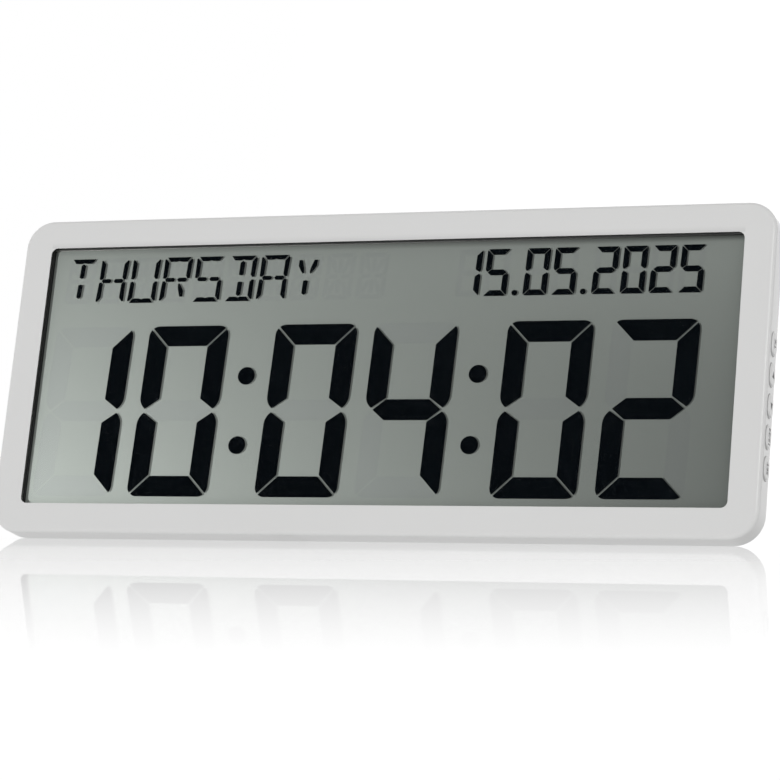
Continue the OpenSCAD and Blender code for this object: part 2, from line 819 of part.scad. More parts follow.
// Glue line between the two glass plates.
module cell_seal() {
    color(black) placed() difference() {
        block([seal_inset - lcd_w / 2, cell_y, seal_inset - lcd_h / 2],
            [lcd_w / 2 - seal_inset, rear_glass_y, rear_glass_top - seal_inset]);
        along_y(cell_y - cut, rear_glass_y + cut)
            square([window_w + 2 * seal_margin, window_h + 2 * seal_margin], center = true);
    }
}

module rear_glass() {
    color(glass) placed()
        block([-lcd_w / 2, rear_glass_y, -lcd_h / 2], [lcd_w / 2, glass_back, rear_glass_top]);
}

// Space inside the glass edges for the reflector, larger by room all round.
module reflector_block(y0, y1, room) {
    inset = film_inset - room;
    block([inset - lcd_w / 2, y0, inset - lcd_h / 2], [lcd_w / 2 - inset, y1, rear_glass_top - inset]);
}

// Grey sheet on the holder, close behind the rear glass.
module reflector_sheet() {
    color(lcd_grey) placed() reflector_block(reflector_y, holder_y, 0);
}

module time_digit(i, lit) {
    translate([time_x + pair_pitch * (floor(i / 2) - 1) + time_pitch * (i % 2 - 0.5), time_z])
        digit(TIME[i], lit, time_w, time_h, time_stroke, time_gap, time_r, time_slant);
}

module date_digit(i, lit) {
    translate([date_at(i), date_z])
        digit(DATE[i], lit, date_w, date_h, date_stroke, date_gap, date_r, date_slant);
}

// Lit segments of the hours, minutes and seconds, with two colons.
module time_segments() {
    color(ink) placed() along_y(cell_y, cell_y + segment_t) {
        for (i = [0 : len(TIME) - 1]) time_digit(i, true);
        translate([time_x, time_z]) for (pair = [-0.5, 0.5], s = [-1, 1])
            translate([pair_pitch * pair + s * colon_rise * time_slant, s * colon_rise])
                circle(d = colon_d);
    }
}

// Lit segments of the day, month and year, with two dots.
module date_segments() {
    color(ink) placed() along_y(cell_y, cell_y + segment_t) {
        for (i = [0 : len(DATE) - 1]) date_digit(i, true);
        dot_z = (date_dot_d - date_h) / 2;
        translate([0, date_z]) for (i = [1, 3])
            translate([(date_at(i) + date_at(i + 1)) / 2 + dot_z * date_slant, dot_z])
                circle(d = date_dot_d);
    }
}

module weekday_segments() {
    color(ink) placed() along_y(cell_y, cell_y + segment_t)
        for (i = [0 : len(WEEKDAY) - 1]) letter(i, true);
}

// Segments that aren't lit: clear, and only just visible.
module unlit_segments() {
    color(glass) placed() along_y(cell_y, cell_y + segment_t) {
        for (i = [0 : len(TIME) - 1]) time_digit(i, false);
        for (i = [0 : len(DATE) - 1]) date_digit(i, false);
        for (i = [0 : len(WEEKDAY) - 1]) letter(i, false);
    }
}

// Tray behind the display, screwed to the front shell, that also carries the main board.
// Its rim stands under the edges of the rear glass, round the reflector.
module lcd_holder() {
    zebra_room = zebra_h / 2 + slide_gap;
    color([0.9, 0.9, 0.88]) placed() difference() {
        union() {
            block([-holder_w / 2, glass_back, -holder_h / 2], [holder_w / 2, holder_back, holder_h / 2]);
            for (sz = [-1, 1]) both_sides() mirror([0, 0, sz < 0 ? 1 : 0])
                block([tab_x - tab_w / 2, holder_y, holder_h / 2 - cut],
                    [tab_x + tab_w / 2, holder_back, inner_z - seat_gap]);
            for (z = [board_screw_low, board_screw_high]) both_sides()
                bar_y([board_screw_x, holder_y + holder_t / 2, z], spacer_r, holder_t / 2 + spacer_t);
        }
        block([holder_bar - holder_w / 2, holder_y - cut, holder_bar - holder_h / 2],
            [holder_w / 2 - holder_bar, holder_back + cut, holder_h / 2 - holder_top_bar]);
        reflector_block(glass_back - cut, holder_y, slide_gap);
        block([-zebra_w / 2 - slide_gap, glass_back - cut, zebra_z - zebra_room],
            [zebra_w / 2 + slide_gap, holder_back + cut, zebra_z + zebra_room]);
        for (sx = [-1, 1], sz = [-1, 1])
            bar_y([sx * tab_x, holder_y - cut, sz * boss_z], pilot_r + slide_gap, holder_t + 2 * cut);
        for (z = [board_screw_low, board_screw_high]) both_sides()
            bar_y([board_screw_x, board_back - board_screw_l - seat_gap, z], pilot_r, board_screw_l);
    }
}

module holder_screws() {
    color(steel) placed() for (sx = [-1, 1], sz = [-1, 1])
        screw(sx * tab_x, holder_back, sz * boss_z, screw_r, holder_screw_l, small_head_r, flat_head_h);
}

// Rubber contact strip between the ledge of the front glass and the main board.
module zebra_strip() {
    color([0.85, 0.6, 0.65]) placed()
        block([-zebra_w / 2, cell_y, zebra_z - zebra_h / 2], [zebra_w / 2, board_y, zebra_z + zebra_h / 2]);
}

module main_board() {
    color(board_green) placed() difference() {
        block([-board_w / 2, board_y, board_low], [board_w / 2, board_back, board_top]);
        for (z = [board_screw_low, board_screw_high]) both_sides()
            bar_y([board_screw_x, board_y - cut, z], pilot_r + slide_gap, board_t + 2 * cut);
    }
}

module board_screws() {
    color(steel) placed() for (z = [board_screw_low, board_screw_high], s = [-1, 1])
        screw(s * board_screw_x, board_back, z, screw_r, board_screw_l, small_head_r, small_head_h);
}

// Resin drop over the controller.
module controller_blob() {
    color(black) placed() translate([blob_x, board_back, part_z]) rotate([-90, 0, 0]) {
        cylinder(r = blob_r, h = blob_h / 2);
        translate([0, 0, blob_h / 2]) cylinder(r1 = blob_r, r2 = blob_r / 2, h = blob_h / 2);
    }
}

module quartz_crystal() {
    color(steel) placed()
        bar_x([crystal_x, board_back + crystal_r + turn_gap, part_z], crystal_r, crystal_l);
}

module board_capacitors() {
    color([0.08, 0.1, 0.2]) placed() for (i = [0 : can_count - 1])
        bar_y([can_x + can_pitch * i, board_back, part_z], can_r, can_h);
}

module receiver_board() {
    color(board_green) placed()
        block([receiver_x - receiver_w / 2, board_back, part_z - receiver_h / 2],
            [receiver_x + receiver_w / 2, board_back + receiver_t, part_z + receiver_h / 2]);
}

module receiver_chip() {
    y = board_back + receiver_t;
    color(black) placed()
        block([receiver_x - chip_w / 2, y, part_z - chip_w / 2],
            [receiver_x + chip_w / 2, y + chip_t, part_z + chip_w / 2]);
}

module antenna_rod() {
    color(ferrite) placed() bar_x([rod_x - rod_l / 2, rod_y, rod_z], rod_r, rod_l);
}

module antenna_coil() {
    color(copper) placed() difference() {
        bar_x([rod_x - coil_l / 2, rod_y, rod_z], rod_r + turn_gap + coil_t, coil_l);
        bar_x([rod_x - coil_l / 2 - cut, rod_y, rod_z], rod_r + turn_gap, coil_l + 2 * cut);
    }
}

// Rubber rings that hold the rod in the cradles of the cover.
module antenna_grommets() {
    color(rubber) placed() for (s = [-1, 1]) difference() {
        x = rod_x + s * grommet_x - grommet_w / 2;
        bar_x([x, rod_y, rod_z], grommet_r, grommet_w);
        bar_x([x - cut, rod_y, rod_z], rod_r + turn_gap, grommet_w + 2 * cut);
    }
}

// Two fine wires from the winding to the main board.
module antenna_leads() {
    start_y = rod_y - rod_r - turn_gap - coil_t;
    color(copper) placed() for (s = [-1, 1]) {
        x = rod_x + s * coil_l / 4;
        end = [4 * s - board_w / 2 + 20, board_back, board_low + 4];
        wire([[x, start_y, rod_z], [x, start_y - 1.2, rod_z], [x + 8, start_y - 1.2, rod_z + 30],
            end + [-4, 3, -12], end + [0, 2, 0], end], fine_lead_r);
    }
}

module key_board() {
    color(board_green) placed() translate([0, 0, button_z])
        block([key_board_x, key_board_y, -key_board_l / 2],
            [key_board_x + key_board_t, key_board_back, key_board_l / 2]);
}

// Bodies of the five switches, each with the bore that its plunger runs in.
module key_switches() {
    bore_d = plunger_l - (flange_x - switch_x - switch_t) + button_travel + switch_room;
    color(black) placed() for (i = [0 : button_count - 1]) translate([0, button_y, button_at(i)])
        difference() {
            block([switch_x, -switch_w / 2, -switch_w / 2],
                [switch_x + switch_t, switch_w / 2, switch_w / 2]);
            bar_x([switch_x + switch_t - bore_d, 0, 0], plunger_r + turn_gap, bore_d + cut);
        }
}

// Flat cable behind the holder, along under the main board's lower edge and up behind it.
module key_cable() {
    color([0.85, 0.82, 0.7]) placed() along_y(board_y - cable_t, board_y)
        polygon([
            [key_board_x, cable_z - cable_w / 2], [key_board_x, cable_z + cable_w / 2],
            [cable_x + cable_w, cable_z + cable_w / 2], [cable_x + cable_w, board_low + cable_lap],
            [cable_x, board_low + cable_lap], [cable_x, cable_z - cable_w / 2]
        ]);
}

// Button cap: a flange behind the wall and a chamfered end outside it.
module button(i) {
    z = button_at(i);
    reach = button_l / 2 + slide_gap + button_flange_reach;
    color(white) placed() {
        block([flange_x, button_y - button_w / 2, z - reach],
            [flange_x + button_flange_t, button_y + button_w / 2, z + reach]);
        chamfered_pill(z, button_l, button_w, flange_x, case_w / 2 + button_proud, button_chamfer);
    }
}

module plunger(i) {
    color(rubber) placed() bar_x([flange_x - plunger_l, button_y, button_at(i)], plunger_r, plunger_l);
}

// Outside of the rear cover, without its cuts.
module cover_outside() {
    along_y(rim_d, taper_y) rounded_rect(flange_w, flange_h, flange_r);
    sloped_slab(flange_w, flange_h, flange_r, back_inset, taper_y, case_d);
}

// Hollow inside of the rear cover.
module cover_inside() {
    w = flange_w - 2 * wall;
    h = flange_h - 2 * wall;
    along_y(rim_d - cut, taper_y) rounded_rect(w, h, flange_r - wall);
    sloped_slab(w, h, flange_r - wall, inner_inset, taper_y, back_in);
}

// Rear cover with screw posts, stand pocket, battery bay, cradles and keyholes.
module rear_cover() {
    color(white) placed() {
        difference() {
            union() {
                difference() {
                    cover_outside();
                    cover_inside();
                }
                intersection() {
                    cover_outside();
                    cover_blocks();
                }
            }
            for (p = CASE_SCREWS) {
                bar_y([p.x, rim_d - cut, p.y], pilot_r + slide_gap, seat_t + 2 * cut);
                bar_y([p.x, seat_y, p.y], well_r, case_d);
            }
            stand_pocket();
            bay_cuts();
            both_sides() keyhole();
        }
        cover_lips();
    }
}

// Solid blocks inside the cover, before they are cut.
module cover_blocks() {
    for (p = CASE_SCREWS) bar_y([p.x, rim_d, p.y], post_r, case_d);
    block([-pocket_w / 2 - wall, case_d - pocket_d - wall, -case_h],
        [pocket_w / 2 + wall, case_d, pocket_top + wall]);
    both_sides()
        block([pocket_w / 2, hinge_y - lug_r, hinge_z - lug_r],
            [pocket_w / 2 + lug_w, case_d, hinge_z + lug_r]);
    block([bay_x0 - bay_wall, bay_floor - bay_wall, bay_z - bay_h / 2 - bay_wall],
        [bay_x1 + bay_wall, case_d, bay_z + bay_h / 2 + bay_wall]);
    block([door_x0 - door_pad, recess_y - door_pad, bay_z - door_h / 2 - tongue - door_pad],
        [case_w, case_d, bay_z + door_h / 2 + tongue + door_pad]);
    for (s = [-1, 1]) translate([rod_x + s * grommet_x, 0, rod_z]) difference() {
        block([-cradle_w / 2, rod_y, -cradle_h / 2], [cradle_w / 2, case_d, cradle_h / 2]);
        bar_x([-cradle_w, rod_y, 0], grommet_r + turn_gap, 2 * cradle_w);
    }
}

// Pocket that the stand folds into, open at the bottom, with the holes for its pivot stubs.
module stand_pocket() {
    block([-pocket_w / 2, case_d - pocket_d, -case_h], [pocket_w / 2, case_d + cut, pocket_top]);
    both_sides()
        bar_x([pocket_w / 2 - cut, hinge_y, hinge_z], stub_r + turn_gap, cut + stub_l + slide_gap);
}

// Battery bay, the recess of its door, the grooves of the door and the slots of the solder tabs.
module bay_cuts() {
    translate([0, 0, bay_z]) {
        block([bay_x0, bay_floor, -bay_h / 2], [bay_x1, case_d + cut, bay_h / 2]);
        block([door_x0 - slide_gap, recess_y, -door_h / 2 - slide_gap],
            [case_w, case_d + cut, door_h / 2 + slide_gap]);
        block([door_x0 - slide_gap, recess_y, -door_h / 2 - tongue - slide_gap],
            [case_w, door_y + tongue_t + slide_gap, door_h / 2 + tongue + slide_gap]);
        for (s = [-1, 1]) translate([bay_x0, cell_y_mid, s * cell_dz])
            cube([4 * bay_wall, leaf_w / 2 + slide_gap, tab_t + slide_gap], center = true);
    }
}

// Keyhole on the right: a round entry with a slot above it.
module keyhole() {
    y = back_in - cut;
    depth = wall + 2 * cut;
    bar_y([keyhole_x, y, keyhole_z], keyhole_r, depth);
    bar_y([keyhole_x, y, keyhole_z + keyhole_slot_l], keyhole_slot_w / 2, depth);
    block([keyhole_x - keyhole_slot_w / 2, y, keyhole_z],
        [keyhole_x + keyhole_slot_w / 2, y + depth, keyhole_z + keyhole_slot_l]);
}

// Short lips that reach into the front shell and line the two up.
module cover_lips() {
    x = inner_x - slide_gap;
    z = inner_z - slide_gap;
    both_sides() {
        for (s = [-1, 1]) mirror([0, 0, s < 0 ? 1 : 0])
            block([lip_x - lip_l / 2, rim_d - lip_reach, z - lip_w], [lip_x + lip_l / 2, taper_y, z]);
        block([x - lip_w, rim_d - lip_reach, lip_z - lip_l / 2], [x, taper_y, lip_z + lip_l / 2]);
    }
}

module case_screws() {
    color(steel) placed() for (p = CASE_SCREWS)
        screw(p.x, seat_y, p.y, screw_r, case_screw_l, head_r, head_h);
}

// Stand: a ribbed leg with a knuckle, two pivot stubs and a heel that stops it when open.
module stand() {
    color(white) placed() opened() difference() {
        union() {
            block([-stand_w / 2, -leg_in, -leg_l], [stand_w / 2, leg_out, heel_l]);
            bar_x([-stand_w / 2, 0, 0], knuckle_r, stand_w);
            bar_x([-pocket_w / 2 - stub_l, 0, 0], stub_r, pocket_w + 2 * stub_l);
            for (s = [-1, 0, 1]) translate([s * stand_w / 3, 0, 0])
                block([-leg_rib_w / 2, -leg_in - leg_rib_h, 4 * foot_r - leg_l],
                    [leg_rib_w / 2, 0, -2 * knuckle_r]);
        }
        bar_x([-foot_l / 2, foot_in, -leg_l], foot_r + turn_gap / 5, foot_l);
        block([-stand_w, -stand_w, -2 * leg_l], [stand_w, stand_w, foot_r / 4 - leg_l]);
    }
}

module stand_foot() {
    color(rubber) placed() opened() bar_x([-foot_l / 2, foot_in, -leg_l], foot_r, foot_l);
}

// Door that slides off sideways, with a tongue along each long edge and grip ribs.
module battery_door() {
    y1 = door_y + door_t;
    color(white) placed() translate([0, 0, bay_z]) difference() {
        union() {
            block([door_x0, door_y, -door_h / 2], [door_x1, y1, door_h / 2]);
            block([door_x0, door_y, -door_h / 2 - tongue],
                [door_x1, door_y + tongue_t, door_h / 2 + tongue]);
        }
        for (i = [0 : grip_count - 1])
            translate([door_x0 + grip_in + grip_pitch * i, 0, 0])
                block([0, y1 - grip_h, -grip_l / 2], [grip_w, y1 + cut, grip_l / 2]);
    }
}

// One cell with its nub at the end that s points to.
module cell(s) {
    z = bay_z + s * cell_dz;
    nub_x = s > 0 ? bay_x1 - contact_t : bay_x0 + contact_t;
    translate([nub_x, cell_y_mid, z]) mirror([s > 0 ? 1 : 0, 0, 0]) {
        bar_x([0, 0, 0], nub_r, nub_l);
        bar_x([nub_l, 0, 0], cell_d / 2, cell_l - nub_l);
    }
}

module upper_cell() {
    color([0.1, 0.1, 0.12]) placed() cell(1);
}

module lower_cell() {
    color([0.1, 0.1, 0.12]) placed() cell(-1);
}

// Bent leaf that presses on a cell's flat end, from a plate at x = 0 towards +X.
module leaf() {
    tip = leaf_l + contact_t;
    half = leaf_w / 2;
    translate([0, half, 0]) rotate([90, 0, 0]) linear_extrude(leaf_w) polygon([
        [0, -half], [contact_t, -half], [tip, -1], [tip, 1], [2 * contact_t, half],
        [contact_t, half], [tip - contact_t, 0.8], [tip - contact_t, -0.8], [0, contact_t - half]
    ]);
}

module contact_plate(half_h) {
    block([0, -contact_w / 2, -half_h], [contact_t, contact_w / 2, half_h]);
}

// Plate at the outer end that joins the upper cell's nub to the lower cell's flat end.
module bridge_contact() {
    color(steel) placed() translate([bay_x1, cell_y_mid, bay_z]) mirror([1, 0, 0]) {
        contact_plate(cell_dz + contact_w / 2);
        translate([0, 0, -cell_dz]) leaf();
    }
}

// Two plates at the inner end, each with the tab that its lead is soldered to.
module terminal_contacts() {
    color(steel) placed() for (s = [-1, 1]) translate([bay_x0, cell_y_mid, bay_z + s * cell_dz]) {
        contact_plate(contact_w / 2);
        block([-tab_l, -leaf_w / 4, -tab_t / 2], [contact_t, leaf_w / 4, tab_t / 2]);
        if (s > 0) leaf();
    }
}

// Lead from a solder tab to the main board.
module battery_lead(s) {
    start = [bay_x0 - tab_l, cell_y_mid, bay_z + s * cell_dz];
    end = [board_w / 2 - 14 + 6 * s, board_back, board_low + 3];
    wire([start, start - [3, 0, 0], start + [-6, -3, 12 - 4 * s], end + [2, 4, -4], end + [0, 2, 0], end],
        lead_r);
}

module red_lead() {
    color([0.7, 0.1, 0.08]) placed() battery_lead(-1);
}

module black_lead() {
    color(black) placed() battery_lead(1);
}

front_bezel();
lcd_gasket();
front_polariser();
front_glass();
cell_seal();
rear_glass();
reflector_sheet();
time_segments();
date_segments();
weekday_segments();
unlit_segments();
lcd_holder();
holder_screws();
zebra_strip();
main_board();
board_screws();
controller_blob();
quartz_crystal();
board_capacitors();
receiver_board();
receiver_chip();
antenna_rod();
antenna_coil();
antenna_grommets();
antenna_leads();
key_board();
key_switches();
key_cable();
for (i = [0 : button_count - 1]) {
    button(i);
    plunger(i);
}
rear_cover();
case_screws();
stand();
stand_foot();
battery_door();
upper_cell();
lower_cell();
bridge_contact();
terminal_contacts();
red_lead();
black_lead();
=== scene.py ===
"""Looks of the radio-controlled wall clock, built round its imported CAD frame."""

import json
import math

import bmesh
import bpy
from mathutils import Matrix, Vector


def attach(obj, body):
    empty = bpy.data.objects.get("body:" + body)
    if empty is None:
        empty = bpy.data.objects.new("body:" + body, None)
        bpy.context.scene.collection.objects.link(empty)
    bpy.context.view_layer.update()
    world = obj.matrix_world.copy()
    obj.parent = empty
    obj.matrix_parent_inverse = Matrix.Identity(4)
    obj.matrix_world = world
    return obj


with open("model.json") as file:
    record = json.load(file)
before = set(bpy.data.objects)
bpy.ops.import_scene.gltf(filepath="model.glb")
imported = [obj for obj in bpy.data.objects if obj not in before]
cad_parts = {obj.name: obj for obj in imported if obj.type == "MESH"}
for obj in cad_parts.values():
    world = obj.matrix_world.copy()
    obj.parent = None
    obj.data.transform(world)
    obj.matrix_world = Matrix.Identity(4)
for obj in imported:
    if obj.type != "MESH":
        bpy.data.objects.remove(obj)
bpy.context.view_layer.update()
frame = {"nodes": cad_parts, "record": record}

MM = 0.001

# Sizes repeated from the part's source, in millimetres and degrees.
LEAN = 15.0
SHIFT_Y = -16.4993
LIFT = 75.4054
CASE_W = 359.6
CASE_D = 31.0
WINDOW_W = 331.8
WINDOW_H = 122.4
BUTTON_Y = 6.2
BUTTON_Z = -15.2
BUTTON_PITCH = 13.7
BUTTON_PROUD = 0.9
BUTTON_NAMES = ("zone", "up", "down", "format", "set")
DOOR_X = 135.5
DOOR_Z = -5.0
DOOR_GAP = 0.1

# Turns a place in the case frame (X right, Y back, Z up from the front face's middle) to the scene's.
CASE = (
    Matrix.Translation(Vector((0.0, SHIFT_Y, LIFT)) * MM)
    @ Matrix.Rotation(math.radians(-LEAN), 4, "X")
    @ Matrix.Scale(MM, 4)
)
CASE_INVERSE = CASE.inverted()


# Materials

def new_material(name):
    material = bpy.data.materials.new(name)
    material.use_nodes = True
    tree = material.node_tree
    tree.nodes.clear()
    output = tree.nodes.new("ShaderNodeOutputMaterial")
    return material, tree, output


def node(tree, kind, **inputs):
    made = tree.nodes.new(kind)
    for key, value in inputs.items():
        made.inputs[key.replace("_", " ")].default_value = value
    return made


def feed(tree, socket, value):
    """Links a node's output to a socket, or sets the socket to a number."""
    if hasattr(value, "is_output"):
        tree.links.new(value, socket)
    else:
        socket.default_value = value


def math_node(tree, operation, *values):
    made = tree.nodes.new("ShaderNodeMath")
    made.operation = operation
    for socket, value in zip(made.inputs, values):
        feed(tree, socket, value)
    return made.outputs[0]


def noise(tree, scale, detail=2.0, stretch=None):
    """Noise in object space; scale is in cells per metre."""
    place = tree.nodes.new("ShaderNodeTexCoord").outputs["Object"]
    if stretch:
        mapping = tree.nodes.new("ShaderNodeMapping")
        mapping.inputs["Scale"].default_value = stretch
        tree.links.new(place, mapping.inputs["Vector"])
        place = mapping.outputs["Vector"]
    made = node(tree, "ShaderNodeTexNoise", Scale=scale, Detail=detail)
    tree.links.new(place, made.inputs["Vector"])
    return made.outputs["Fac"]


# Where the noise's dark and bright ends lie, since it seldom comes near 0 or 1.
NOISE_LOW = 0.3
NOISE_HIGH = 0.7


def ramp(tree, fac, low, high):
    """Colour between low and high, by a noise's factor."""
    made = tree.nodes.new("ShaderNodeValToRGB")
    first, last = made.color_ramp.elements
    first.position = NOISE_LOW
    last.position = NOISE_HIGH
    first.color = (*low, 1.0)
    last.color = (*high, 1.0)
    tree.links.new(fac, made.inputs["Fac"])
    return made.outputs["Color"]


def level(tree, value, low, high, start=0.0, end=1.0, smooth=False):
    """Takes a value between start and end over to a number between low and high."""
    made = tree.nodes.new("ShaderNodeMapRange")
    if smooth:
        made.interpolation_type = "SMOOTHSTEP"
    made.inputs["From Min"].default_value = start
    made.inputs["From Max"].default_value = end
    made.inputs["To Min"].default_value = low
    feed(tree, made.inputs["To Max"], high)
    tree.links.new(value, made.inputs["Value"])
    return made.outputs["Result"]


def tinted(colour, factor):
    return tuple(min(1.0, c * factor) for c in colour)


# Broad mottling of every surface, in cells per metre, and the detail of its fine grain.
BROAD_GRAIN = 22.0
FINE_DETAIL = 3.0
BEVEL_SAMPLES = 6
# Black paint for the window's inner edge, also used as painted shade.
LIP_PAINT_AND_SHADE = (0.008, 0.008, 0.008, 1.0)


def surface(name, colour, rough, grain=1800.0, spread=0.03, bump=0.02, bump_depth=0.0001,
            metallic=0.0, stretch=None, edge=None, rough_spread=0.06, painted=None, **extra):
    """Moulded, rubber or metal surface: fine grain in its colour, gloss and relief.

    painted makes a factor in the node tree, for where black paint and painted shade cover the colour.
    edge is the radius in millimetres to which sharp edges look rounded."""
    material, tree, output = new_material(name)
    shader = node(tree, "ShaderNodeBsdfPrincipled", Metallic=metallic, **extra)
    fine = noise(tree, grain, FINE_DETAIL, stretch)
    broad = noise(tree, BROAD_GRAIN)
    both = math_node(tree, "MULTIPLY", math_node(tree, "ADD", fine, broad), 0.5)
    shade = ramp(tree, both, tinted(colour, 1 - spread), tinted(colour, 1 + spread))
    if painted:
        # Black paint and painted shade go where painted says.
        cover = tree.nodes.new("ShaderNodeMix")
        cover.data_type = "RGBA"
        tree.links.new(painted(tree), cover.inputs["Factor"])
        # The colours of a mix are its inputs 6 and 7 and its output 2.
        tree.links.new(shade, cover.inputs[6])
        cover.inputs[7].default_value = LIP_PAINT_AND_SHADE
        shade = cover.outputs[2]
    tree.links.new(shade, shader.inputs["Base Color"])
    tree.links.new(level(tree, fine, rough - rough_spread, rough + rough_spread),
                   shader.inputs["Roughness"])
    relief = node(tree, "ShaderNodeBump", Strength=bump, Distance=bump_depth)
    tree.links.new(fine, relief.inputs["Height"])
    if edge:
        rounding = node(tree, "ShaderNodeBevel", Radius=edge * MM)
        rounding.samples = BEVEL_SAMPLES
        tree.links.new(rounding.outputs["Normal"], relief.inputs["Normal"])
    tree.links.new(relief.outputs["Normal"], shader.inputs["Normal"])
    tree.links.new(shader.outputs["BSDF"], output.inputs["Surface"])
    return material


def case_coordinates(tree):
    """X, Y and Z in the case frame, in millimetres."""
    place = tree.nodes.new("ShaderNodeTexCoord").outputs["Object"]
    split = tree.nodes.new("ShaderNodeSeparateXYZ")
    tree.links.new(place, split.inputs["Vector"])
    axes = []
    for row in range(3):
        total = CASE_INVERSE[row][3]
        for column, socket in enumerate(("X", "Y", "Z")):
            share = math_node(tree, "MULTIPLY", split.outputs[socket], CASE_INVERSE[row][column])
            total = math_node(tree, "ADD", share, total)
        axes.append(total)
    return axes


PAINT_MARGIN = 0.05
# Painted shade on the frame above the window: its strength and width.
FRAME_SHADE = 0.12
FRAME_SHADE_W = 3.0


def window_edge(tree):
    """One on the window's inner edge behind the front face, painted black, and painted shade above
    the window.
    """
    x, y, z = case_coordinates(tree)
    half_w = WINDOW_W / 2
    half_h = WINDOW_H / 2
    inside_x = math_node(tree, "LESS_THAN", math_node(tree, "ABSOLUTE", x), half_w + PAINT_MARGIN)
    inside_z = math_node(tree, "LESS_THAN", math_node(tree, "ABSOLUTE", z), half_h + PAINT_MARGIN)
    behind = math_node(tree, "GREATER_THAN", y, PAINT_MARGIN)
    edge = math_node(tree, "MULTIPLY", math_node(tree, "MULTIPLY", inside_x, inside_z), behind)
    # Painted shade on the frame, darker towards the window's top edge.
    frame_shade = level(tree, z, 0.0, FRAME_SHADE, half_h + FRAME_SHADE_W, half_h, smooth=True)
    above = math_node(tree, "GREATER_THAN", z, half_h)
    frame_shade = math_node(tree, "MULTIPLY", math_node(tree, "MULTIPLY", frame_shade, above), inside_x)
    return math_node(tree, "MAXIMUM", edge, frame_shade)


# Painted shade on the holder's front edge, close behind the display, darker to the right.
HOLDER_SHADE = 0.42
HOLDER_SHADE_SLOPE = 0.5
HOLDER_SHADE_Y = 6.0


def holder_painted_shade(tree):
    x, y, _ = case_coordinates(tree)
    # Painted shade on the holder's front, darker to the right.
    cover = math_node(tree, "MULTIPLY_ADD", x, HOLDER_SHADE_SLOPE / (WINDOW_W / 2), HOLDER_SHADE)
    return math_node(tree, "MULTIPLY", math_node(tree, "LESS_THAN", y, HOLDER_SHADE_Y), cover)


# Stands for the weak reflection of a coated surface.
COATED_IOR = 1.025
# Slight waviness of a clear sheet.
RIPPLE_GRAIN = 60.0
RIPPLE = 0.015
RIPPLE_DEPTH = 0.0001


def clear_layer(name, tint, gloss_rough):
    """Thin clear sheet with a coating against reflections: light goes straight through."""
    material, tree, output = new_material(name)
    clear = node(tree, "ShaderNodeBsdfTransparent", Color=(*tint, 1.0))
    gloss = node(tree, "ShaderNodeBsdfGlossy", Roughness=gloss_rough)
    fresnel = node(tree, "ShaderNodeFresnel", IOR=COATED_IOR)
    ripple = node(tree, "ShaderNodeBump", Strength=RIPPLE, Distance=RIPPLE_DEPTH)
    tree.links.new(noise(tree, RIPPLE_GRAIN), ripple.inputs["Height"])
    tree.links.new(ripple.outputs["Normal"], gloss.inputs["Normal"])
    mix = tree.nodes.new("ShaderNodeMixShader")
    tree.links.new(fresnel.outputs["Fac"], mix.inputs["Fac"])
    tree.links.new(clear.outputs["BSDF"], mix.inputs[1])
    tree.links.new(gloss.outputs["BSDF"], mix.inputs[2])
    tree.links.new(mix.outputs["Shader"], output.inputs["Surface"])
    return material


# Tone of the display's reflector, with painted light in it: an even part whose slopes paint how the
# light falls across the display, and a painted glow at the lower left that falls off to the right.
TONE_MIDDLE = 0.0803
TONE_SLOPE = 0.0178
TONE_RISE = 0.093
TONE_CURVE = 0.0291
TONE_TWIST = 0.0071
PAINTED_GLOW = 0.4438
PAINTED_GLOW_TILT = -0.5587
PAINTED_GLOW_FALL = -0.7332
REFLECTOR_TINT = (0.945, 1.0, 0.95)
REFLECTOR_SPECULAR = 0.2
REFLECTOR_ROUGH = (0.5, 0.6)
ROUGH_GRAIN = 2600.0
SPECK_GRAIN = 5200.0
SPECK = (0.96, 1.04)
# Painted shade under the frame: share of that tone on the border, at the sides and at the top with
# its slope.
SIDE_BORDER_SHADE = 0.1
TOP_BORDER_SHADE = 0.33
TOP_BORDER_SHADE_SLOPE = -0.23
# How far inside and outside the window's edge the tone changes to the border's.
BORDER_IN = 0.1
BORDER_OUT = 0.2
# Soft shade below the window's top edge, stronger to the right.
SHADE = 0.40
SHADE_SLOPE = 0.27
SHADE_W = 3.0


